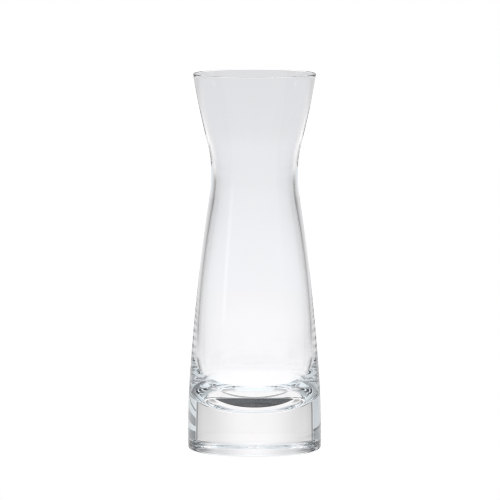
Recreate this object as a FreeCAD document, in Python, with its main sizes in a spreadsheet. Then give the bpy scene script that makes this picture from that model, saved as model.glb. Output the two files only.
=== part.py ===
"""A clear glass wine decanter: a tall bowl with a waist and a flared mouth, on a solid glass base.

Two masses of glass make it. The bowl is blown, from the lip down to its own rounded bottom. The base
is a thick solid block with a seat for that bottom, joined to the bowl hot, so nothing moves or comes
apart. The decanter's axis is Z, it rests on the plane Z = 0, and every size is in millimetres.
"""

import FreeCAD, Part
import math
import os
import re

import Sketcher
from FreeCAD import Vector

# name: (value in millimetres, or in degrees for a slope, and what it is)
DIMENSIONS = {
    "total_height": (275.0, "height of the lip above the resting plane"),
    "lip_radius": (44.75, "outside radius of the lip"),
    "flare_curve": (540.0, "arc of the flared mouth, outside"),
    "waist_radius": (31.5, "outside radius of the waist"),
    "waist_height": (201.0, "height of the narrowest place, outside"),
    "waist_curve": (98.0, "arc of the waist, outside"),
    "mouth_radius": (43.45, "inside radius at the lip"),
    "mouth_curve": (410.0, "arc of the flared mouth, inside"),
    "throat_radius": (28.5, "inside radius of the waist"),
    "throat_height": (196.6, "height of the narrowest place, inside"),
    "throat_curve": (102.0, "arc of the waist, inside"),
    "cavity_radius": (41.6, "widest inside radius"),
    "cavity_curve": (600.0, "arc of the long body, inside"),
    "heel_height": (70.0, "height where the inside wall starts to round in"),
    "heel_curve": (80.0, "arc from the inside wall down to the inside corner"),
    "corner_curve": (31.5, "arc from there to the inside floor"),
    "floor_curve": (104.0, "arc of the inside floor"),
    "floor_height": (27.4, "height of the lowest inside point"),
    "bottom_wall": (3.5, "thickness of the bowl's rounded bottom"),
    "seam_height": (57.0, "height of the flat land where bowl and base join"),
    "seam_radius": (47.1, "outside radius of that land"),
    "land_radius": (45.0, "inside radius of that land"),
    "seam_slope": (4.0, "lean of the outside wall towards the axis at the land"),
    "base_side_curve": (640.0, "arc of the side of the base"),
    "foot_round": (3.0, "rounding between the side and the resting ring"),
    "recess_radius": (33.0, "radius of the shallow recess under the base"),
    "recess_depth": (0.6, "depth of that recess"),
    "lip_round": (0.6, "rounding of the lip, inside and outside"),
}

START, END, CENTRE = 1, 2, 3  # how a sketch numbers the points of a line or an arc
AXIS = -2  # how a sketch numbers its own vertical axis
GUIDE_LENGTH = 10.0  # length of the construction line that holds the seam's slope


def make_sheet(doc):
    """Fills the spreadsheet: one row for each driving dimension, named by its alias."""
    sheet = doc.addObject("Spreadsheet::Sheet", "Dimensions")
    for row, (alias, (value, meaning)) in enumerate(DIMENSIONS.items(), start=1):
        sheet.set(f"A{row}", alias)
        sheet.set(f"B{row}", str(value))
        sheet.set(f"C{row}", meaning)
        sheet.setAlias(f"B{row}", alias)
    doc.recompute()
    return sheet


def in_sheet(text):
    """Turns names of dimensions, such as "waist_radius + waist_curve", into cells of the sheet."""
    return re.sub(r"[a-z]\w*", r"Dimensions.\g<0>", text)


def meet(centre_a, reach_a, centre_b, reach_b):
    """The point reach_a from one centre and reach_b from the other, clockwise of the line a-b."""
    gap = centre_a.distanceToPoint(centre_b)
    along = (centre_b - centre_a) / gap
    forward = (gap**2 + reach_a**2 - reach_b**2) / (2 * gap)
    sideways = math.sqrt(reach_a**2 - forward**2)
    return centre_a + along * forward + Vector(along.y, -along.x, 0) * sideways


def beyond(start, through, distance):
    """The point at a distance from start, on the ray from start through another point."""
    return start + (through - start) * (distance / start.distanceToPoint(through))


class Outline:
    """Half of a turned shape, on the body's own XZ plane: across is the radius, up is the height."""

    def __init__(self, body, name):
        plane = next(item for item in body.Origin.OriginFeatures if item.Role == "XZ_Plane")
        self.sketch = body.newObject("Sketcher::SketchObject", name)
        self.sketch.AttachmentSupport = [(plane, "")]
        self.sketch.MapMode = "FlatFace"

    def arc(self, centre, first, last):
        """Draws the arc that runs anticlockwise from first to last."""
        angles = [math.atan2(end.y - centre.y, end.x - centre.x) for end in (first, last)]
        circle = Part.Circle(centre, Vector(0, 0, 1), centre.distanceToPoint(first))
        return self.sketch.addGeometry(Part.ArcOfCircle(circle, *angles))

    def line(self, first, last):
        return self.sketch.addGeometry(Part.LineSegment(first, last))

    def rule(self, kind, *where):
        return self.sketch.addConstraint(Sketcher.Constraint(kind, *where))

    def join(self, item, point, other, other_point):
        self.rule("Coincident", item, point, other, other_point)

    def smooth(self, item, point, other, other_point):
        self.rule("Tangent", item, point, other, other_point)

    def bind(self, constraint, cells):
        """Binds a constraint's value to the sheet."""
        self.sketch.setExpression(f"Constraints[{constraint}]", in_sheet(cells))

    def curve(self, arc, cells):
        """Binds an arc's radius to the sheet."""
        self.bind(self.rule("Radius", arc, self.sketch.Geometry[arc].Radius), cells)

    def place(self, item, point, across=None, up=None):
        """Binds a point's distance from the axis, its height, or both, to the sheet."""
        here = self.sketch.getPoint(item, point)
        if across:
            self.bind(self.rule("DistanceX", item, point, here.x), across)
        if up:
            self.bind(self.rule("DistanceY", item, point, here.y), up)

    def lean(self, arc, point, seam_slope):
        """Holds the direction of an arc's end at the seam's slope, with a construction line."""
        foot = self.sketch.getPoint(arc, point)
        upright = math.radians(90.0 + seam_slope)
        top = foot + Vector(math.cos(upright), math.sin(upright), 0) * GUIDE_LENGTH
        guide = self.line(foot, top)
        self.sketch.toggleConstruction(guide)
        self.smooth(guide, START, arc, point)
        self.rule("Distance", guide, GUIDE_LENGTH)
        self.bind(self.rule("Angle", guide, upright), "(90 + seam_slope) * 1")

    def close(self, bottom, bottom_point, top, top_point):
        """Closes the outline: up the axis from its bottom point, then straight across to its top."""
        low = self.sketch.getPoint(bottom, bottom_point)
        high = self.sketch.getPoint(top, top_point)
        corner = Vector(low.x, high.y, 0)
        axis = self.line(low, corner)
        lid = self.line(corner, high)
        self.join(axis, START, bottom, bottom_point)
        self.join(axis, END, lid, START)
        self.join(lid, END, top, top_point)
        self.rule("PointOnObject", axis, START, AXIS)
        self.rule("Vertical", axis)
        self.rule("Horizontal", lid)


def draw_neck(outline, lip, flare_centre, waist_centre, waist_curve, body_centre):
    """Draws the mouth's arc above the waist's arc, joined smoothly; returns both."""
    shoulder = beyond(waist_centre, flare_centre, waist_curve)
    hip = beyond(waist_centre, body_centre, waist_curve)
    flare = outline.arc(flare_centre, shoulder, lip)
    waist = outline.arc(waist_centre, shoulder, hip)
    outline.smooth(flare, START, waist, START)
    return flare, waist


def draw_bottom(outline, floor_centre, floor_curve, corner_centre, rim):
    """Draws the rounded bottom: the floor's arc, then the corner's arc up to rim; returns both."""
    lowest = floor_centre - Vector(0, floor_curve, 0)
    turn = beyond(floor_centre, corner_centre, floor_curve)
    floor = outline.arc(floor_centre, lowest, turn)
    corner = outline.arc(corner_centre, turn, rim)
    outline.smooth(corner, START, floor, END)
    outline.rule("PointOnObject", floor, CENTRE, AXIS)
    return floor, corner


def draw_seat(outline, sheet):
    """Draws the underside of the bowl, which is also the seat in the base, up to the land."""
    floor_curve = sheet.floor_curve + sheet.bottom_wall
    corner_curve = sheet.corner_curve + sheet.bottom_wall
    floor_centre = Vector(0, sheet.floor_height + sheet.floor_curve, 0)
    land = Vector(sheet.land_radius, sheet.seam_height, 0)
    corner_centre = meet(floor_centre, floor_curve - corner_curve, land, corner_curve)
    floor, corner = draw_bottom(outline, floor_centre, floor_curve, corner_centre, land)
    outline.curve(floor, "floor_curve + bottom_wall")
    outline.curve(corner, "corner_curve + bottom_wall")
    outline.place(floor, CENTRE, up="floor_height + floor_curve")
    outline.place(corner, END, across="land_radius", up="seam_height")
    return floor, corner


def draw_bowl(body, sheet):
    """The bowl as if it were solid, from the lip down the outside wall to its rounded underside."""
    outline = Outline(body, "BowlOutside")
    lip = Vector(sheet.lip_radius, sheet.total_height, 0)
    seam = Vector(sheet.seam_radius, sheet.seam_height, 0)
    waist_curve = sheet.waist_curve
    waist_centre = Vector(sheet.waist_radius + waist_curve, sheet.waist_height, 0)
    flare_centre = meet(lip, sheet.flare_curve, waist_centre, sheet.flare_curve + waist_curve)

    # the body's arc leaves the land with the seam's slope and touches the waist's arc
    slope = math.radians(sheet.seam_slope)
    inward = Vector(-math.cos(slope), -math.sin(slope), 0)
    apart = seam - waist_centre
    body_curve = (waist_curve**2 - apart.dot(apart)) / (2 * (apart.dot(inward) - waist_curve))
    body_centre = seam + inward * body_curve

    flare, waist = draw_neck(outline, lip, flare_centre, waist_centre, waist_curve, body_centre)
    hip = beyond(waist_centre, body_centre, waist_curve)
    side = outline.arc(body_centre, seam, hip)
    floor, corner = draw_seat(outline, sheet)
    land = outline.line(seam, Vector(sheet.land_radius, sheet.seam_height, 0))

    outline.smooth(waist, END, side, END)
    outline.join(land, START, side, START)
    outline.join(land, END, corner, END)
    outline.curve(flare, "flare_curve")
    outline.curve(waist, "waist_curve")
    outline.place(flare, END, across="lip_radius", up="total_height")
    outline.place(waist, CENTRE, across="waist_radius + waist_curve", up="waist_height")
    outline.place(side, START, across="seam_radius", up="seam_height")
    outline.lean(side, START, sheet.seam_slope)
    outline.close(floor, START, flare, END)
    return outline


def draw_cavity(body, sheet):
    """The space for the wine, from the lip down the inside wall to the rounded floor."""
    outline = Outline(body, "Cavity")
    lip = Vector(sheet.mouth_radius, sheet.total_height, 0)
    throat_curve = sheet.throat_curve
    waist_centre = Vector(sheet.throat_radius + throat_curve, sheet.throat_height, 0)
    flare_centre = meet(lip, sheet.mouth_curve, waist_centre, sheet.mouth_curve + throat_curve)

    # the long body's arc is widest level with its centre and touches the waist's arc above
    side_curve = sheet.cavity_curve
    across = sheet.cavity_radius - side_curve
    drop = math.sqrt((side_curve + throat_curve) ** 2 - (waist_centre.x - across) ** 2)
    side_centre = Vector(across, sheet.throat_height - drop, 0)

    # the heel's arc leaves the side at its own height, and the corner's arc joins it to the floor
    heel_curve = sheet.heel_curve
    rise = sheet.heel_height - side_centre.y
    brow = Vector(side_centre.x + math.sqrt(side_curve**2 - rise**2), sheet.heel_height, 0)
    heel_centre = beyond(side_centre, brow, side_curve - heel_curve)
    floor_curve = sheet.floor_curve
    corner_curve = sheet.corner_curve
    floor_centre = Vector(0, sheet.floor_height + floor_curve, 0)
    corner_centre = meet(
        heel_centre, heel_curve - corner_curve, floor_centre, floor_curve - corner_curve
    )

    flare, waist = draw_neck(outline, lip, flare_centre, waist_centre, throat_curve, side_centre)
    hip = beyond(waist_centre, side_centre, throat_curve)
    side = outline.arc(side_centre, brow, hip)
    rim = beyond(heel_centre, corner_centre, heel_curve)
    heel = outline.arc(heel_centre, rim, brow)
    floor, corner = draw_bottom(outline, floor_centre, floor_curve, corner_centre, rim)

    outline.smooth(waist, END, side, END)
    outline.smooth(side, START, heel, END)
    outline.smooth(heel, START, corner, END)
    outline.curve(flare, "mouth_curve")
    outline.curve(waist, "throat_curve")
    outline.curve(side, "cavity_curve")
    outline.curve(heel, "heel_curve")
    outline.curve(corner, "corner_curve")
    outline.curve(floor, "floor_curve")
    outline.place(flare, END, across="mouth_radius", up="total_height")
    outline.place(waist, CENTRE, across="throat_radius + throat_curve", up="throat_height")
    outline.place(side, CENTRE, across="cavity_radius - cavity_curve")
    outline.place(heel, END, up="heel_height")
    outline.place(floor, CENTRE, up="floor_height + floor_curve")
    outline.close(floor, START, flare, END)
    return outline


def draw_base(body, sheet):
    """The base as if its top were flat: recess, resting ring, rounded foot and curved side."""
    outline = Outline(body, "BaseOutside")
    middle = Vector(0, sheet.recess_depth, 0)
    ring = Vector(sheet.recess_radius, 0, 0)
    recess_curve = (sheet.recess_radius**2 + sheet.recess_depth**2) / (2 * sheet.recess_depth)
    seam = Vector(sheet.seam_radius, sheet.seam_height, 0)
    slope = math.radians(sheet.seam_slope)
    side_centre = seam - Vector(math.cos(slope), math.sin(slope), 0) * sheet.base_side_curve
    reach = sheet.base_side_curve - sheet.foot_round
    rise = sheet.foot_round - side_centre.y
    foot_centre = Vector(side_centre.x + math.sqrt(reach**2 - rise**2), sheet.foot_round, 0)
    tread = Vector(foot_centre.x, 0, 0)
    heel = beyond(side_centre, foot_centre, sheet.base_side_curve)

    recess = outline.arc(middle - Vector(0, recess_curve, 0), ring, middle)
    sole = outline.line(ring, tread)
    foot = outline.arc(foot_centre, tread, heel)
    side = outline.arc(side_centre, heel, seam)

    outline.join(recess, START, sole, START)
    outline.smooth(sole, END, foot, START)
    outline.smooth(foot, END, side, START)
    outline.rule("Horizontal", sole)
    outline.rule("PointOnObject", recess, CENTRE, AXIS)
    outline.rule("DistanceY", sole, START, 0.0)
    outline.curve(foot, "foot_round")
    outline.curve(side, "base_side_curve")
    outline.place(recess, START, across="recess_radius")
    outline.place(recess, END, up="recess_depth")
    outline.place(side, END, across="seam_radius", up="seam_height")
    outline.lean(side, END, sheet.seam_slope)
    outline.close(recess, END, side, END)
    return outline


def draw_socket(body, sheet):
    """The seat for the bowl's rounded bottom, sunk into the top of the base."""
    outline = Outline(body, "Socket")
    floor, corner = draw_seat(outline, sheet)
    outline.close(floor, START, corner, END)
    return outline


def turn(body, kind, name, outline):
    """Turns an outline a full circle about the decanter's axis."""
    feature = body.newObject(kind, name)
    feature.Profile = outline.sketch
    feature.ReferenceAxis = (outline.sketch, ["V_Axis"])
    feature.Angle = 360.0
    outline.sketch.Visibility = False
    body.Document.recompute()
    return feature


def hollow(body, name, outline):
    """Turns an outline as a cut, and makes sure that it removed glass."""
    before = body.Shape.Volume
    groove = turn(body, "PartDesign::Groove", name, outline)
    if groove.Shape.Volume >= before:
        raise RuntimeError(f"{name} removed nothing from {body.Label}")
    return groove


def make_body(doc, label):
    body = doc.addObject("PartDesign::Body", label)
    body.Label = label
    return body


def make_bowl(doc, sheet):
    body = make_body(doc, "bowl")
    turn(body, "PartDesign::Revolution", "BlownBowl", draw_bowl(body, sheet))
    cavity = hollow(body, "WineSpace", draw_cavity(body, sheet))
    lip_edges = [
        f"Edge{number}"
        for number, edge in enumerate(cavity.Shape.Edges, start=1)
        if edge.BoundBox.ZMin > sheet.total_height - sheet.lip_round and edge.Closed
    ]
    lip = body.newObject("PartDesign::Fillet", "PolishedLip")
    lip.Base = (cavity, lip_edges)
    lip.setExpression("Radius", in_sheet("lip_round"))
    return body


def make_base(doc, sheet):
    body = make_body(doc, "base")
    turn(body, "PartDesign::Revolution", "SolidBase", draw_base(body, sheet))
    hollow(body, "BowlSeat", draw_socket(body, sheet))
    return body


def check(doc, bodies):
    """Stops if any object failed, or if a sub-part isn't one sound solid."""
    for item in doc.Objects:
        if {"Invalid", "Error"} & set(item.State):
            raise RuntimeError(f"{item.Label} failed: {item.State}")
    for body in bodies:
        if body.Shape.isNull() or not body.Shape.isValid() or len(body.Shape.Solids) != 1:
            raise RuntimeError(f"{body.Label} is not one valid solid")


def write_steps(bodies):
    os.makedirs("parts", exist_ok=True)
    for body in bodies:
        body.Shape.exportStep(f"parts/{body.Label}.step")


doc = FreeCAD.newDocument("Decanter")
sheet = make_sheet(doc)
bodies = [make_bowl(doc, sheet), make_base(doc, sheet)]
doc.recompute()
check(doc, bodies)
write_steps(bodies)
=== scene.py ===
"""Looks for the glass wine decanter: two turned glass pieces, a pale floor, soft light and a camera.

Everything is built in metres in the model's own frame: Z is the decanter's axis, and it stands on
Z = 0. Only the decanter's outlines are worked out in millimetres, and MM turns them into metres.
"""

import math

import bmesh
import bpy
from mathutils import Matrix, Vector


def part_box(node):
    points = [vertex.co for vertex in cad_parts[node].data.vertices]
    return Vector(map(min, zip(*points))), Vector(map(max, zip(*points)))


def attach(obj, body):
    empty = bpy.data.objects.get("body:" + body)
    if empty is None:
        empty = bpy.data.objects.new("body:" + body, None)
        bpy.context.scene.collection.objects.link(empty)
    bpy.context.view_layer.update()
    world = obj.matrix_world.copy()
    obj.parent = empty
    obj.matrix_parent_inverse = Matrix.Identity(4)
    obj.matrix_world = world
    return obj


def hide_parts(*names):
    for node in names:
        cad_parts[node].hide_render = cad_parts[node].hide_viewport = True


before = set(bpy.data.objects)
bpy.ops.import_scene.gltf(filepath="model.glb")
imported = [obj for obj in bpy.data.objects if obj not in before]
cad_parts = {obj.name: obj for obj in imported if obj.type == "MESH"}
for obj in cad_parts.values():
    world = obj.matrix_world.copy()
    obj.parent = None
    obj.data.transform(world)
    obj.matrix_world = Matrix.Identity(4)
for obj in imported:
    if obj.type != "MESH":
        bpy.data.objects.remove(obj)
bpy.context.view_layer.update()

MM = 0.001
SEGMENTS = 256  # facets round the axis
CHORD_ERROR = 0.004  # mm between a round stretch of the outline and its facets
LONGEST_STEP = 3.0  # mm between the outline's points


def in_mm(metres):
    return metres / MM


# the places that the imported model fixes
BASE_TOP = in_mm(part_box("base")[1].z)
LIP_HEIGHT = in_mm(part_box("bowl")[1].z)
BOWL_BOTTOM = in_mm(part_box("bowl")[0].z)

# the outside, from the lip down, in millimetres; a CURVE is the radius of a stretch of the outline
LIP_RADIUS = 44.75
FLARE_CURVE = 540.0
WAIST_RADIUS = 31.5
WAIST_HEIGHT = 201.0
WAIST_CURVE = 98.0
SEAM_RADIUS = 47.1
SEAM_SLOPE = math.radians(4.0)
BASE_SIDE_CURVE = 640.0
FOOT_ROUND = 3.0
RECESS_RADIUS = 33.0
RECESS_DEPTH = 0.6

# the inside
MOUTH_RADIUS = 43.45
MOUTH_CURVE = 410.0
THROAT_RADIUS = 28.5
THROAT_HEIGHT = 196.6
THROAT_CURVE = 102.0
CAVITY_RADIUS = 41.6
CAVITY_CURVE = 600.0
HEEL_HEIGHT = 70.0
HEEL_CURVE = 80.0
CORNER_CURVE = 31.5
FLOOR_CURVE = 104.0
BOTTOM_WALL = 3.5
FLOOR_HEIGHT = BOWL_BOTTOM + BOTTOM_WALL
LAND_RADIUS = 45.0
LIP_ROUND = 0.6


# ---------------------------------------------------------------- outlines


def point(across, up):
    """A point of an outline: its distance from the axis and its height, in millimetres."""
    return Vector((across, up))


def meet(centre_a, reach_a, centre_b, reach_b):
    """The point reach_a from one centre and reach_b from the other, clockwise of the line a-b."""
    along = (centre_b - centre_a).normalized()
    gap = (centre_b - centre_a).length
    forward = (gap**2 + reach_a**2 - reach_b**2) / (2 * gap)
    sideways = math.sqrt(reach_a**2 - forward**2)
    return centre_a + along * forward + point(along.y, -along.x) * sideways


def beyond(start, through, distance):
    """The point at a distance from start, on the ray from start through another point."""
    return start + (through - start).normalized() * distance


def arc(centre, first, last):
    """Points of the shorter arc about centre from first to last, close enough to look round."""
    radius = (first - centre).length
    start = math.atan2(first.y - centre.y, first.x - centre.x)
    sweep = math.atan2(last.y - centre.y, last.x - centre.x) - start
    sweep = (sweep + math.pi) % (2 * math.pi) - math.pi
    step = min(LONGEST_STEP, math.sqrt(8 * radius * CHORD_ERROR))
    count = max(2, math.ceil(abs(sweep) * radius / step))
    angles = [start + sweep * number / count for number in range(count + 1)]
    return [centre + point(math.cos(angle), math.sin(angle)) * radius for angle in angles]


def polished_corner(before, corner, after, radius):
    """A small round between two nearly straight stretches that meet at corner."""
    first = beyond(corner, before, radius)
    last = beyond(corner, after, radius)
    bisector = ((first + last) / 2 - corner).normalized()
    half = (first - corner).angle(last - corner) / 2
    centre = corner + bisector * (radius / math.cos(half))
    return arc(centre, first, last)


def inside_outline():
    """The wall of the space for wine, from the middle of its floor up to the lip."""
    lip = point(MOUTH_RADIUS, LIP_HEIGHT)
    waist_centre = point(THROAT_RADIUS + THROAT_CURVE, THROAT_HEIGHT)
    flare_centre = meet(lip, MOUTH_CURVE, waist_centre, MOUTH_CURVE + THROAT_CURVE)
    across = CAVITY_RADIUS - CAVITY_CURVE
    drop = math.sqrt((CAVITY_CURVE + THROAT_CURVE) ** 2 - (waist_centre.x - across) ** 2)
    side_centre = point(across, THROAT_HEIGHT - drop)
    rise = HEEL_HEIGHT - side_centre.y
    brow = point(across + math.sqrt(CAVITY_CURVE**2 - rise**2), HEEL_HEIGHT)
    heel_centre = beyond(side_centre, brow, CAVITY_CURVE - HEEL_CURVE)
    floor_centre = point(0, FLOOR_HEIGHT + FLOOR_CURVE)
    corner_centre = meet(
        heel_centre, HEEL_CURVE - CORNER_CURVE, floor_centre, FLOOR_CURVE - CORNER_CURVE
    )
    middle = point(0, FLOOR_HEIGHT)
    turn = beyond(floor_centre, corner_centre, FLOOR_CURVE)
    rim = beyond(heel_centre, corner_centre, HEEL_CURVE)
    hip = beyond(waist_centre, side_centre, THROAT_CURVE)
    shoulder = beyond(waist_centre, flare_centre, THROAT_CURVE)
    return chain(
        arc(floor_centre, middle, turn),
        arc(corner_centre, turn, rim),
        arc(heel_centre, rim, brow),
        arc(side_centre, brow, hip),
        arc(waist_centre, hip, shoulder),
        arc(flare_centre, shoulder, lip),
    )


def outside_outline():
    """The outside of the bowl, from the lip down to the land where it meets the base."""
    lip = point(LIP_RADIUS, LIP_HEIGHT)
    seam = point(SEAM_RADIUS, BASE_TOP)
    waist_centre = point(WAIST_RADIUS + WAIST_CURVE, WAIST_HEIGHT)
    flare_centre = meet(lip, FLARE_CURVE, waist_centre, FLARE_CURVE + WAIST_CURVE)
    inward = point(-math.cos(SEAM_SLOPE), -math.sin(SEAM_SLOPE))
    apart = seam - waist_centre
    body_curve = (WAIST_CURVE**2 - apart.dot(apart)) / (2 * (apart.dot(inward) - WAIST_CURVE))
    body_centre = seam + inward * body_curve
    shoulder = beyond(waist_centre, flare_centre, WAIST_CURVE)
    hip = beyond(waist_centre, body_centre, WAIST_CURVE)
    return chain(
        arc(flare_centre, lip, shoulder),
        arc(waist_centre, shoulder, hip),
        arc(body_centre, hip, seam),
    )


def seat_outline():
    """The fused face between bowl and base, from the outside in to the axis."""
    floor_curve = FLOOR_CURVE + BOTTOM_WALL
    corner_curve = CORNER_CURVE + BOTTOM_WALL
    floor_centre = point(0, FLOOR_HEIGHT + FLOOR_CURVE)
    land = point(LAND_RADIUS, BASE_TOP)
    corner_centre = meet(floor_centre, floor_curve - corner_curve, land, corner_curve)
    turn = beyond(floor_centre, corner_centre, floor_curve)
    middle = point(0, BOWL_BOTTOM)
    return chain(
        [point(SEAM_RADIUS, BASE_TOP), land],
        arc(corner_centre, land, turn),
        arc(floor_centre, turn, middle),
    )


def base_outline():
    """The base from its seam down the side, round the foot and under to the axis."""
    seam = point(SEAM_RADIUS, BASE_TOP)
    outward = point(math.cos(SEAM_SLOPE), math.sin(SEAM_SLOPE))
    side_centre = seam - outward * BASE_SIDE_CURVE
    reach = BASE_SIDE_CURVE - FOOT_ROUND
    foot_across = side_centre.x + math.sqrt(reach**2 - (FOOT_ROUND - side_centre.y) ** 2)
    foot_centre = point(foot_across, FOOT_ROUND)
    heel = beyond(side_centre, foot_centre, BASE_SIDE_CURVE)
    tread = point(foot_across, 0)
    ring = point(RECESS_RADIUS, 0)
    middle = point(0, RECESS_DEPTH)
    recess_curve = (RECESS_RADIUS**2 + RECESS_DEPTH**2) / (2 * RECESS_DEPTH)
    return chain(
        arc(side_centre, seam, heel),
        arc(foot_centre, heel, tread),
        [tread, ring],
        arc(middle - point(0, recess_curve), ring, middle),
    )


def chain(*stretches):
    """Joins stretches end to end, without repeating the points they share."""
    joined = list(stretches[0])
    for stretch in stretches[1:]:
        joined.extend(stretch[1:])
    return joined


# ---------------------------------------------------------------- meshes


def lathe(name, glass, joint, materials):
    """Turns a closed outline about the axis: a polished stretch, then the face fused to a neighbour."""
    outline = chain(glass, joint)
    mesh = bmesh.new()
    rings = []
    for spot in outline:
        turns = SEGMENTS if spot.x > CHORD_ERROR else 1
        angles = [2 * math.pi * number / turns for number in range(turns)]
        rings.append(
            [
                mesh.verts.new(Vector((math.cos(a) * spot.x, math.sin(a) * spot.x, spot.y)) * MM)
                for a in angles
            ]
        )
    for number, (lower, upper) in enumerate(zip(rings, rings[1:])):
        for side in range(SEGMENTS):
            ahead = (side + 1) % SEGMENTS
            corners = [
                lower[side % len(lower)],
                lower[ahead % len(lower)],
                upper[ahead % len(upper)],
                upper[side % len(upper)],
            ]
            face = mesh.faces.new(list(dict.fromkeys(corners)))
            face.smooth = True
            face.material_index = 0 if number < len(glass) - 1 else 1
    seam = rings[len(glass) - 1]
    for first, second in zip(seam, seam[1:] + seam[:1]):
        mesh.edges.get((first, second)).smooth = False
    bmesh.ops.recalc_face_normals(mesh, faces=mesh.faces)
    data = bpy.data.meshes.new(name)
    mesh.to_mesh(data)
    mesh.free()
    piece = bpy.data.objects.new(name, data)
    bpy.context.scene.collection.objects.link(piece)
    for material in materials:
        data.materials.append(material)
    return piece


def bowl_polished():
    """The bowl's own surface, from the middle of its floor over the lip to the land."""
    inside = inside_outline()
    outside = outside_outline()
    inner_lip = polished_corner(inside[-2], inside[-1], outside[0], LIP_ROUND)
    outer_lip = polished_corner(inside[-1], outside[0], outside[1], LIP_ROUND)
    return inside[:-1] + inner_lip + outer_lip + outside[1:]


# ---------------------------------------------------------------- materials


GLASS_INDEX = 1.54  # how strongly crystal bends light
CLEAR_TINT = (1.0, 0.998, 1.0, 1.0)
CLOUDED_TINT = (0.992, 0.994, 1.0, 1.0)
CLOUD_DETAIL = 2.0
BLOWN_WAVES = 0.00004  # metres, the depth of the surface's waves
CAST_WAVES = 0.00008
BLOWN_GRAIN = 28.0  # how many clouds of tint and waves fit in a metre
CAST_GRAIN = 45.0

# the Mix node has one pair of inputs for plain numbers and another for colours
MIX_NUMBERS = (2, 3)
MIX_COLOURS = (6, 7)
MIX_COLOUR_RESULT = 2


class Wiring:
    """Short names for making and joining shader nodes."""

    def __init__(self, tree):
        self.tree = tree
        tree.nodes.clear()

    def add(self, kind, inputs=None, **settings):
        """A new node with its settings, and with a value or a link for each input named."""
        node = self.tree.nodes.new(kind)
        for name, value in settings.items():
            setattr(node, name, value)
        for name, value in (inputs or {}).items():
            self.feed(node.inputs[name], value)
        return node

    def feed(self, socket, value):
        """Links another node's output to an input, or gives the input a plain value."""
        if isinstance(value, bpy.types.NodeSocket):
            self.tree.links.new(value, socket)
        else:
            socket.default_value = value

    def math(self, operation, first, second=0.0):
        """The result of one sum."""
        return self.add("ShaderNodeMath", {0: first, 1: second}, operation=operation).outputs[0]

    def square(self, value):
        return self.math("MULTIPLY", value, value)

    def dot(self, first, second):
        """How far one vector reaches along another."""
        node = self.add("ShaderNodeVectorMath", {0: first, 1: second}, operation="DOT_PRODUCT")
        return node.outputs["Value"]

    def cross(self, first, second):
        """The direction square to two others."""
        node = self.add("ShaderNodeVectorMath", {0: first, 1: second}, operation="CROSS_PRODUCT")
        return node.outputs["Vector"]

    def ease(self, value, start, end, low=0.0, high=1.0):
        """Low before start, high after end, and a smooth change between them."""
        inputs = {"Value": value, "From Min": start, "From Max": end, "To Min": low, "To Max": high}
        node = self.add("ShaderNodeMapRange", inputs, interpolation_type="SMOOTHSTEP", clamp=True)
        return node.outputs["Result"]

    def fade(self, value, start, end):
        """One before start, nothing after end, and a smooth change between them."""
        return self.ease(value, start, end, 1.0, 0.0)

    def window(self, value, start, end, soft):
        """One between start and end, easing off to nothing outside them."""
        opening = self.ease(value, start - soft, start + soft)
        closing = self.fade(value, end - soft, end + soft)
        return self.patch(opening, closing)

    def patch(self, first, second):
        """Where two shares overlap."""
        return self.math("MULTIPLY", first, second)

    def mix(self, share, first, second):
        """A plain number between two others."""
        inputs = {"Factor": share, MIX_NUMBERS[0]: first, MIX_NUMBERS[1]: second}
        return self.add("ShaderNodeMix", inputs, data_type="FLOAT").outputs[0]

    def blend(self, share, first, second):
        """A colour between two others."""
        inputs = {"Factor": share, MIX_COLOURS[0]: first, MIX_COLOURS[1]: second}
        return self.add("ShaderNodeMix", inputs, data_type="RGBA").outputs[MIX_COLOUR_RESULT]


def glass_material(name, waviness, grain):
    """Clear crystal: a trace of uneven tint, and a surface that is very slightly wavy."""
    material = bpy.data.materials.new(name)
    material.use_nodes = True
    wires = Wiring(material.node_tree)
    place = wires.add("ShaderNodeTexCoord").outputs["Object"]
    cloud = wires.add("ShaderNodeTexNoise", {"Vector": place, "Scale": grain, "Detail": CLOUD_DETAIL})
    tint = wires.blend(cloud.outputs[0], CLEAR_TINT, CLOUDED_TINT)
    swell = {"Height": cloud.outputs[0], "Distance": waviness, "Strength": 1.0}
    wavy = wires.add("ShaderNodeBump", swell).outputs["Normal"]
    glass = wires.add("ShaderNodeBsdfPrincipled", {"Base Color": tint, "Normal": wavy})
    glass.inputs["Roughness"].default_value = 0.0
    glass.inputs["IOR"].default_value = GLASS_INDEX
    glass.inputs["Transmission Weight"].default_value = 1.0
    output = wires.add("ShaderNodeOutputMaterial")
    wires.tree.links.new(glass.outputs["BSDF"], output.inputs["Surface"])
    return material


def fused_material():
    """The face where bowl and base are one glass, so light goes straight through it."""
    material = bpy.data.materials.new("fused_joint")
    material.use_nodes = True
    wires = Wiring(material.node_tree)
    clear = wires.add("ShaderNodeBsdfPrincipled")
    clear.inputs["Alpha"].default_value = 0.0
    output = wires.add("ShaderNodeOutputMaterial")
    wires.tree.links.new(clear.outputs["BSDF"], output.inputs["Surface"])
    return material


# ---------------------------------------------------------------- studio

# The camera sees the tent and the floor as plain white. A ray that comes through the glass sees a
# soft studio instead, whose brightness depends on the ray's direction and on where it left the glass.
# The studio turns with the camera. Angles are in degrees and lengths in metres. SIDES are angles to
# either side of straight ahead, CLIMBS and DROPS are angles above and below level, STARTS are heights
# where rays leave the glass, and REACHES are distances from the axis on the floor. Two numbers are
# where a change begins and where it is complete. Three are the two edges of a window and their
# softness. Four are a change and the brightness before and after it.

TENT_RADIUS = 0.9  # the light tent and the floor inside it
TENT_SEGMENTS = 64
TENT_RINGS = 32
FLOOR_SEGMENTS = 128
FLOOR_GAP = 0.0003  # keeps the floor clear of the base's resting ring
GLASS_RADIUS = 0.045  # about where rays leave the glass
LEFT_TO_RIGHT = (-5, 5)  # where the left half of the studio gives way to the right half

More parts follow.
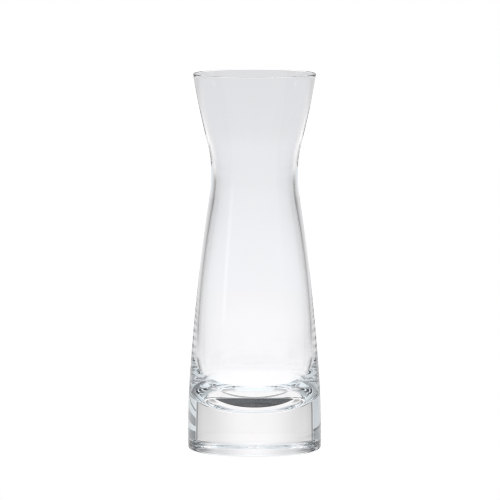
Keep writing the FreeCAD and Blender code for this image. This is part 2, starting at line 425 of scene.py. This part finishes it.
WHITE = (1.0, 1.0, 1.0, 1.0)
COOL_WHITE = (0.99, 0.985, 1.0, 1.0)
WARM_WHITE = (1.0, 0.985, 0.99, 1.0)
TEAL_WHITE = (0.88, 0.955, 1.0, 1.0)
TEAL_SIDES = (50, 60)

# the front, behind the camera, with an upright lamp strip on its left
FRONT_SIDES = (110, 116)
FRONT = 0.75
FRONT_LOW_LEFT = 0.42
FRONT_LOW_RIGHT = 0.2
FRONT_STARTS = (0.044, 0.052)
LAMP = 1.5
LAMP_AZIMUTHS = (-119, -111, 4)
LAMP_STARTS = (0.1, 0.195, 0.01)

# the backdrop straight ahead, which fades in two steps to its edges, and the walls beside it
SHOULDER_FADE = (0, 26, 0.0, 0.28)
EDGE_FADE = (25, 42, 0.0, 0.41)
BACKDROP_END = (47, 50)
NECK_STARTS = (0.212, 0.232)
NECK_FADE_SHARE = 0.4
NECK_BRIGHTNESS = 0.95
WALL_LEFT = 0.38
WALL_RIGHT = 0.28
WALL_RAISED = 0.55
WALL_STARTS = (0.075, 0.1)
FOOT_TO_LIP = (0.03, 0.28, 1.04, 0.79)  # the whole horizon dims for rays that leave higher up
HORIZON_END = (9, 14)

# the walls above the horizon: upright lit slats, and a dark gap over the camera
ABOVE_HORIZON = (0, 6)
BESIDE_BACKDROP = (46, 52)
SLATS_PER_TURN = 16.0
SLAT_LEAN = 4.0
SLATS_LEFT = (0.1, 0.8, 0.06, 0.85)
SLATS_RIGHT = (0.2, 0.8, 0.05, 0.85)
SLAT_STARTS = (0.058, 0.07)
GAP = 0.06
GAP_CLIMBS = (8, 15, 1)
GAP_SIDES = (156, 160)
GAP_STARTS = (0.07, 0.09)

# the ceiling, and how high it takes over from the backdrop, from the walls and from the front
CEILING_SIDES = (40, 54, 0.95, 0.6)
CEILING_FRONT = 1.1
CEILING_FRONT_SIDES = (108, 125)
ZENITH = 0.85
ZENITH_CLIMBS = (50, 70)
OVER_BACKDROP = (8, 24)
OVER_WALLS = (38, 50)
OVER_FRONT = (24, 36)
WALLS_SIDES = (44, 54)
OVER_FRONT_SIDES = (108, 118)

# the table to the left and right, crossed by shaded bands
TABLE_SIDE_SIDES = (52, 56)
TABLE_STEEP = 0.95
TABLE_STEEP_DROPS = (18, 22)
TABLE_RIGHT = 0.88
FAR_BAND = 0.35
FAR_BAND_REACHES = (0.118, 0.145, 0.002)
BAND = 0.3
LINE_REACHES = (0.163, 0.167, 0.001)
NEAR_BAND_REACHES = (0.055, 0.096, 0.002)
TABLE_LEFT_NEAR = 0.38
TABLE_LEFT_GAP = 0.15
TABLE_LEFT_FAR = 0.72
LEFT_GAP_BEGIN = (0.096, 0.1)
LEFT_GAP_END = (0.105, 0.109)

# the rest of the table, with shade in a seam and a wedge to each side and where the base touches it
TABLE_FADE = (5, 38, 1.0, 0.75)
TABLE_EDGE_FADE = (38, 50, 0.0, -0.1)
TABLE_BEHIND = 0.4
BEHIND_SIDES = (100, 110)
BEHIND_DROPS = (20, 25)
SHADE = 0.3
SEAM_SIDES = (50, 53, 1)
SEAM_DROPS = (10, 14)
WEDGE_SIDES = (33, 37)
WEDGE_SIDES_END = (47, 52)
WEDGE_DROPS = (12, 18)
WEDGE_DROPS_END = (30, 40)
TABLE_AHEAD = 1.05
AHEAD_SIDES = (20, 30)
AHEAD_DROPS = (10, 34)
TABLE_BELOW = 1.08
BELOW_DROPS = (40, 48)
CONTACT_REACHES = (0.0475, 0.054)
CONTACT_DROPS = (25, 31)
FAR_TABLE_REACHES = (0.2, 0.45)

# the table under the base, lit for rays that go well forward and dark for the steep ones
BASE_EDGE = (0.047, 0.048)
UNDER_DARK = 0.1
UNDER_LIT_FORWARD = (0.48, 0.58)
SHALLOW_DROPS = (20, 28, 0.92, 1.0)
SHALLOW_END = (0.031, 0.035)
RING_REACHES = (0.033, 0.044, 1.0, 0.4)
RING_SIDES = (8, 14)
RING_DROPS = (28, 32)
CROSSED = 0.97
CROSSING = (-0.0135, -0.0125)  # past the axis; a ray that lands before this is heading inward

# light for the rays that leave through the lip
LIP_LIGHT = 1.5
LIP_STARTS = (0.2715, 0.2735)
LIP_SIDES = (11, 92, 3)
LIP_CLIMBS = (8, 12)


class LeavingRay:
    """A ray that left the glass, as it meets the studio. Angles are in degrees, lengths in metres."""

    def __init__(self, wires):
        geometry = wires.add("ShaderNodeNewGeometry")
        heading = {0: geometry.outputs["Incoming"], "Scale": -1.0}
        ray = wires.add("ShaderNodeVectorMath", heading, operation="SCALE").outputs["Vector"]
        camera_right = wires.add(
            "ShaderNodeVectorTransform",
            {"Vector": (1, 0, 0)},
            vector_type="VECTOR",
            convert_from="CAMERA",
            convert_to="WORLD",
        ).outputs[0]
        ahead = wires.cross((0, 0, 1), camera_right)
        self.forward = wires.dot(ray, ahead)
        azimuth = wires.math("ARCTAN2", wires.dot(ray, camera_right), self.forward)
        self.azimuth = wires.math("DEGREES", azimuth)
        self.side = wires.math("ABSOLUTE", self.azimuth)
        self.rightward = wires.ease(self.azimuth, *LEFT_TO_RIGHT)
        rise = wires.dot(ray, (0, 0, 1))
        self.climb = wires.math("DEGREES", wires.math("ARCSINE", rise))
        self.drop = wires.math("MULTIPLY", self.climb, -1.0)
        position = geometry.outputs["Position"]
        height = wires.add("ShaderNodeSeparateXYZ", {0: position}).outputs["Z"]
        level = wires.add("ShaderNodeVectorMath", {0: position, 1: (1, 1, 0)}, operation="MULTIPLY")
        length = wires.add("ShaderNodeVectorMath", {0: level.outputs[0]}, operation="LENGTH")
        self.reach = length.outputs["Value"]
        self.progress = wires.dot(position, ray)
        # where the ray left the glass: step back along it to a cylinder about as wide as the glass
        slope = wires.math("TANGENT", wires.math("ARCSINE", rise))
        flat = wires.add("ShaderNodeVectorMath", {0: ray, 1: (1, 1, 0)}, operation="MULTIPLY")
        course = wires.add("ShaderNodeVectorMath", {0: flat.outputs[0]}, operation="NORMALIZE")
        along = wires.dot(position, course.outputs[0])
        offset = wires.math("SUBTRACT", wires.square(self.reach), wires.square(along))
        inner = wires.math("SQRT", wires.math("SUBTRACT", GLASS_RADIUS**2, offset))
        run = wires.math("SUBTRACT", along, inner)
        self.start = wires.math("SUBTRACT", height, wires.math("MULTIPLY", run, slope))


def front_light(wires, ray):
    """Brightness behind the camera: bright, but shaded where the thick base looks at it."""
    low = wires.mix(ray.rightward, FRONT_LOW_LEFT, FRONT_LOW_RIGHT)
    front = wires.mix(wires.ease(ray.start, *FRONT_STARTS), low, FRONT)
    strip = wires.window(ray.azimuth, *LAMP_AZIMUTHS)
    lamp = wires.patch(strip, wires.window(ray.start, *LAMP_STARTS))
    return wires.mix(lamp, front, LAMP)


def level_light(wires, ray):
    """Brightness round the horizon: a backdrop that fades to its edges, and dimmer walls beyond."""
    neck = wires.ease(ray.start, *NECK_STARTS)
    fade = wires.math("ADD", wires.ease(ray.side, *SHOULDER_FADE), wires.ease(ray.side, *EDGE_FADE))
    fade = wires.patch(fade, wires.mix(neck, 1.0, NECK_FADE_SHARE))
    backdrop = wires.math("SUBTRACT", 1.0, fade)
    walls = wires.mix(ray.rightward, WALL_LEFT, WALL_RIGHT)
    walls = wires.mix(wires.ease(ray.start, *WALL_STARTS), walls, WALL_RAISED)
    walls = wires.mix(wires.ease(ray.side, *FRONT_SIDES), walls, front_light(wires, ray))
    light = wires.mix(wires.ease(ray.side, *BACKDROP_END), backdrop, walls)
    light = wires.math("MULTIPLY", light, wires.ease(ray.start, *FOOT_TO_LIP))
    light = wires.math("MULTIPLY", light, wires.mix(neck, 1.0, NECK_BRIGHTNESS))
    return wires.mix(wires.ease(ray.drop, *HORIZON_END), light, 1.0)


def slats(wires, ray):
    """Brightness of upright lit slats on the side walls, seen as streaks in the thick base."""
    turn = wires.math("MULTIPLY", ray.azimuth, SLATS_PER_TURN)
    lean = wires.math("MULTIPLY", ray.climb, SLAT_LEAN)
    wave = wires.math("SINE", wires.math("RADIANS", wires.math("ADD", turn, lean)))
    return wires.mix(ray.rightward, wires.ease(wave, *SLATS_LEFT), wires.ease(wave, *SLATS_RIGHT))


def wall_shade(wires, ray):
    """Brightness of the walls above the horizon: slats low down, even grey higher up."""
    shade = wires.mix(wires.ease(ray.start, *SLAT_STARTS), slats(wires, ray), WALL_RAISED)
    shade = wires.mix(wires.ease(ray.side, *FRONT_SIDES), shade, front_light(wires, ray))
    gap = wires.patch(wires.window(ray.climb, *GAP_CLIMBS), wires.ease(ray.side, *GAP_SIDES))
    return wires.mix(wires.patch(gap, wires.fade(ray.start, *GAP_STARTS)), shade, GAP)


def ceiling_light(wires, ray):
    """Brightness overhead: one large soft light, dimmer to the left and right."""
    light = wires.ease(ray.side, *CEILING_SIDES)
    light = wires.mix(wires.ease(ray.side, *CEILING_FRONT_SIDES), light, CEILING_FRONT)
    return wires.mix(wires.ease(ray.climb, *ZENITH_CLIMBS), light, ZENITH)


def ceiling_share(wires, ray):
    """Where the ceiling light takes over from what stands below it."""
    backdrop = wires.ease(ray.climb, *OVER_BACKDROP)
    rise = wires.mix(wires.ease(ray.side, *WALLS_SIDES), backdrop, wires.ease(ray.climb, *OVER_WALLS))
    front = wires.ease(ray.climb, *OVER_FRONT)
    return wires.mix(wires.ease(ray.side, *OVER_FRONT_SIDES), rise, front)


def tent_light(wires, ray):
    """Brightness of the tent, wherever a ray that left the glass meets it."""
    above = wires.ease(ray.climb, *ABOVE_HORIZON)
    beside = wires.patch(above, wires.ease(ray.side, *BESIDE_BACKDROP))
    light = wires.mix(beside, level_light(wires, ray), wall_shade(wires, ray))
    return wires.mix(ceiling_share(wires, ray), light, ceiling_light(wires, ray))


def side_table_light(wires, ray):
    """Brightness of the table to the left and right, where shaded bands cross it."""
    right = wires.mix(wires.window(ray.reach, *FAR_BAND_REACHES), TABLE_RIGHT, FAR_BAND)
    right = wires.mix(wires.window(ray.reach, *LINE_REACHES), right, BAND)
    right = wires.mix(wires.window(ray.reach, *NEAR_BAND_REACHES), right, BAND)
    left = wires.mix(wires.ease(ray.reach, *LEFT_GAP_END), TABLE_LEFT_GAP, TABLE_LEFT_FAR)
    left = wires.mix(wires.ease(ray.reach, *LEFT_GAP_BEGIN), TABLE_LEFT_NEAR, left)
    light = wires.mix(ray.rightward, left, right)
    return wires.mix(wires.ease(ray.drop, *TABLE_STEEP_DROPS), light, TABLE_STEEP)


def table_light(wires, ray):
    """Brightness of the open table round the base."""
    light = wires.ease(ray.side, *TABLE_FADE)
    light = wires.math("ADD", light, wires.ease(ray.side, *TABLE_EDGE_FADE))
    light = wires.mix(wires.ease(ray.side, *TABLE_SIDE_SIDES), light, side_table_light(wires, ray))
    behind = wires.patch(wires.ease(ray.side, *BEHIND_SIDES), wires.fade(ray.drop, *BEHIND_DROPS))
    light = wires.mix(behind, light, TABLE_BEHIND)
    seam = wires.patch(wires.window(ray.side, *SEAM_SIDES), wires.fade(ray.drop, *SEAM_DROPS))
    light = wires.mix(seam, light, SHADE)
    wedge = wires.patch(wires.ease(ray.drop, *WEDGE_DROPS), wires.fade(ray.drop, *WEDGE_DROPS_END))
    sides = wires.patch(wires.ease(ray.side, *WEDGE_SIDES), wires.fade(ray.side, *WEDGE_SIDES_END))
    light = wires.mix(wires.patch(wedge, sides), light, SHADE)
    ahead = wires.patch(wires.ease(ray.drop, *AHEAD_DROPS), wires.fade(ray.side, *AHEAD_SIDES))
    light = wires.mix(ahead, light, TABLE_AHEAD)
    light = wires.mix(wires.ease(ray.drop, *BELOW_DROPS), light, TABLE_BELOW)
    contact = wires.fade(ray.reach, *CONTACT_REACHES)
    contact = wires.patch(contact, wires.fade(ray.drop, *CONTACT_DROPS))
    return wires.mix(contact, light, SHADE)


def under_base_light(wires, ray):
    """Brightness of the table under the base: lit only from behind, through the glass."""
    shallow = wires.ease(ray.drop, *SHALLOW_DROPS)
    shallow = wires.mix(wires.ease(ray.reach, *SHALLOW_END), shallow, 1.0)
    beside = wires.patch(wires.ease(ray.side, *RING_SIDES), wires.fade(ray.drop, *RING_DROPS))
    ring = wires.mix(beside, 1.0, wires.ease(ray.reach, *RING_REACHES))
    lit = wires.ease(ray.forward, *UNDER_LIT_FORWARD)
    light = wires.mix(lit, UNDER_DARK, wires.patch(shallow, ring))
    return wires.mix(wires.fade(ray.progress, *CROSSING), light, CROSSED)


def floor_light(wires, ray):
    """Brightness of the floor, wherever a ray that left the glass meets it."""
    far = wires.ease(ray.reach, *FAR_TABLE_REACHES)
    light = wires.mix(far, table_light(wires, ray), level_light(wires, ray))
    return wires.mix(wires.fade(ray.reach, *BASE_EDGE), light, under_base_light(wires, ray))


def lip_share(wires, ray):
    """Which rays left the glass through the lip."""
    lip = wires.patch(wires.ease(ray.start, *LIP_STARTS), wires.window(ray.side, *LIP_SIDES))
    return wires.patch(lip, wires.ease(ray.climb, *LIP_CLIMBS))


def emitter(name, on_floor):
    """White to the camera, and the studio's own brightness to a ray that comes through the glass."""
    material = bpy.data.materials.new(name)
    material.use_nodes = True
    wires = Wiring(material.node_tree)
    seen = wires.add("ShaderNodeLightPath").outputs["Is Camera Ray"]
    ray = LeavingRay(wires)
    light = floor_light(wires, ray) if on_floor else tent_light(wires, ray)
    light = wires.mix(lip_share(wires, ray), light, LIP_LIGHT)
    strength = wires.mix(seen, light, 1.0)
    ahead_colour = WARM_WHITE if on_floor else COOL_WHITE
    colour = wires.blend(wires.ease(ray.side, *TEAL_SIDES), ahead_colour, TEAL_WHITE)
    colour = wires.blend(seen, colour, WHITE)
    glow = wires.add("ShaderNodeEmission", {"Color": colour, "Strength": strength}).outputs[0]
    if not on_floor:
        inner = wires.add("ShaderNodeNewGeometry").outputs["Backfacing"]
        clear = wires.add("ShaderNodeBsdfTransparent").outputs[0]
        glow = wires.add("ShaderNodeMixShader", {0: inner, 1: clear, 2: glow}).outputs[0]
    output = wires.add("ShaderNodeOutputMaterial")
    wires.tree.links.new(glow, output.inputs["Surface"])
    return material


def stage_piece(name, mesh, material):
    """A piece of the studio, which isn't part of the decanter."""
    data = bpy.data.meshes.new(name)
    mesh.to_mesh(data)
    mesh.free()
    piece = bpy.data.objects.new(name, data)
    piece.data.materials.append(material)
    bpy.context.scene.collection.objects.link(piece)
    return piece


def studio_world():
    """Plain white beyond the tent."""
    world = bpy.data.worlds.new("studio")
    bpy.context.scene.world = world
    world.use_nodes = True
    wires = Wiring(world.node_tree)
    background = wires.add("ShaderNodeBackground", {"Color": WHITE, "Strength": 1.0})
    output = wires.add("ShaderNodeOutputWorld")
    wires.tree.links.new(background.outputs[0], output.inputs["Surface"])


def add_floor():
    """The pale table top that the decanter stands on."""
    mesh = bmesh.new()
    bmesh.ops.create_circle(mesh, cap_ends=True, segments=FLOOR_SEGMENTS, radius=TENT_RADIUS)
    floor = stage_piece("floor", mesh, emitter("pale_floor", True))
    floor.location.z = -FLOOR_GAP


def add_tent():
    """The round light tent, clear from outside so that the camera can look in."""
    mesh = bmesh.new()
    bmesh.ops.create_uvsphere(
        mesh, u_segments=TENT_SEGMENTS, v_segments=TENT_RINGS, radius=TENT_RADIUS
    )
    stage_piece("light_tent", mesh, emitter("light_tent", False))


CAMERA_DISTANCE = 4.0
CAMERA_HEIGHT = 0.5547
CAMERA_PITCH = math.radians(5.835)  # down from level
CAMERA_YAW = math.radians(0.0473)
SENSOR_WIDTH = 36.0  # mm
FOCAL_LENGTH = 397.3  # mm


def add_camera():
    """A long lens, a little above the lip, looking slightly down."""
    data = bpy.data.cameras.new("camera")
    data.sensor_width = SENSOR_WIDTH
    data.lens = FOCAL_LENGTH
    camera = bpy.data.objects.new("camera", data)
    bpy.context.scene.collection.objects.link(camera)
    bpy.context.scene.camera = camera
    camera.location = (0, -CAMERA_DISTANCE, CAMERA_HEIGHT)
    camera.rotation_euler = (math.pi / 2 - CAMERA_PITCH, 0, CAMERA_YAW)


# ---------------------------------------------------------------- the decanter


def dress(piece, node):
    """Lets a piece stand for a node of the model, on its only body."""
    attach(piece, "root")
    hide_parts(node)


fused = fused_material()
blown = glass_material("bowl_glass", BLOWN_WAVES, BLOWN_GRAIN)
cast = glass_material("base_glass", CAST_WAVES, CAST_GRAIN)
bowl = lathe("bowl_glass", bowl_polished(), seat_outline(), [blown, fused])
base = lathe("base_glass", base_outline()[::-1], seat_outline(), [cast, fused])
dress(bowl, "bowl")
dress(base, "base")

studio_world()
add_floor()
add_tent()
add_camera()

PIXEL_FILTER = 1.0  # pixels
BOUNCES = 64  # light turns many times inside thick glass

scene = bpy.context.scene
scene.view_settings.view_transform = "Standard"
scene.cycles.filter_width = PIXEL_FILTER
scene.cycles.max_bounces = BOUNCES
scene.cycles.transmission_bounces = BOUNCES
scene.cycles.glossy_bounces = BOUNCES
scene.cycles.transparent_max_bounces = BOUNCES
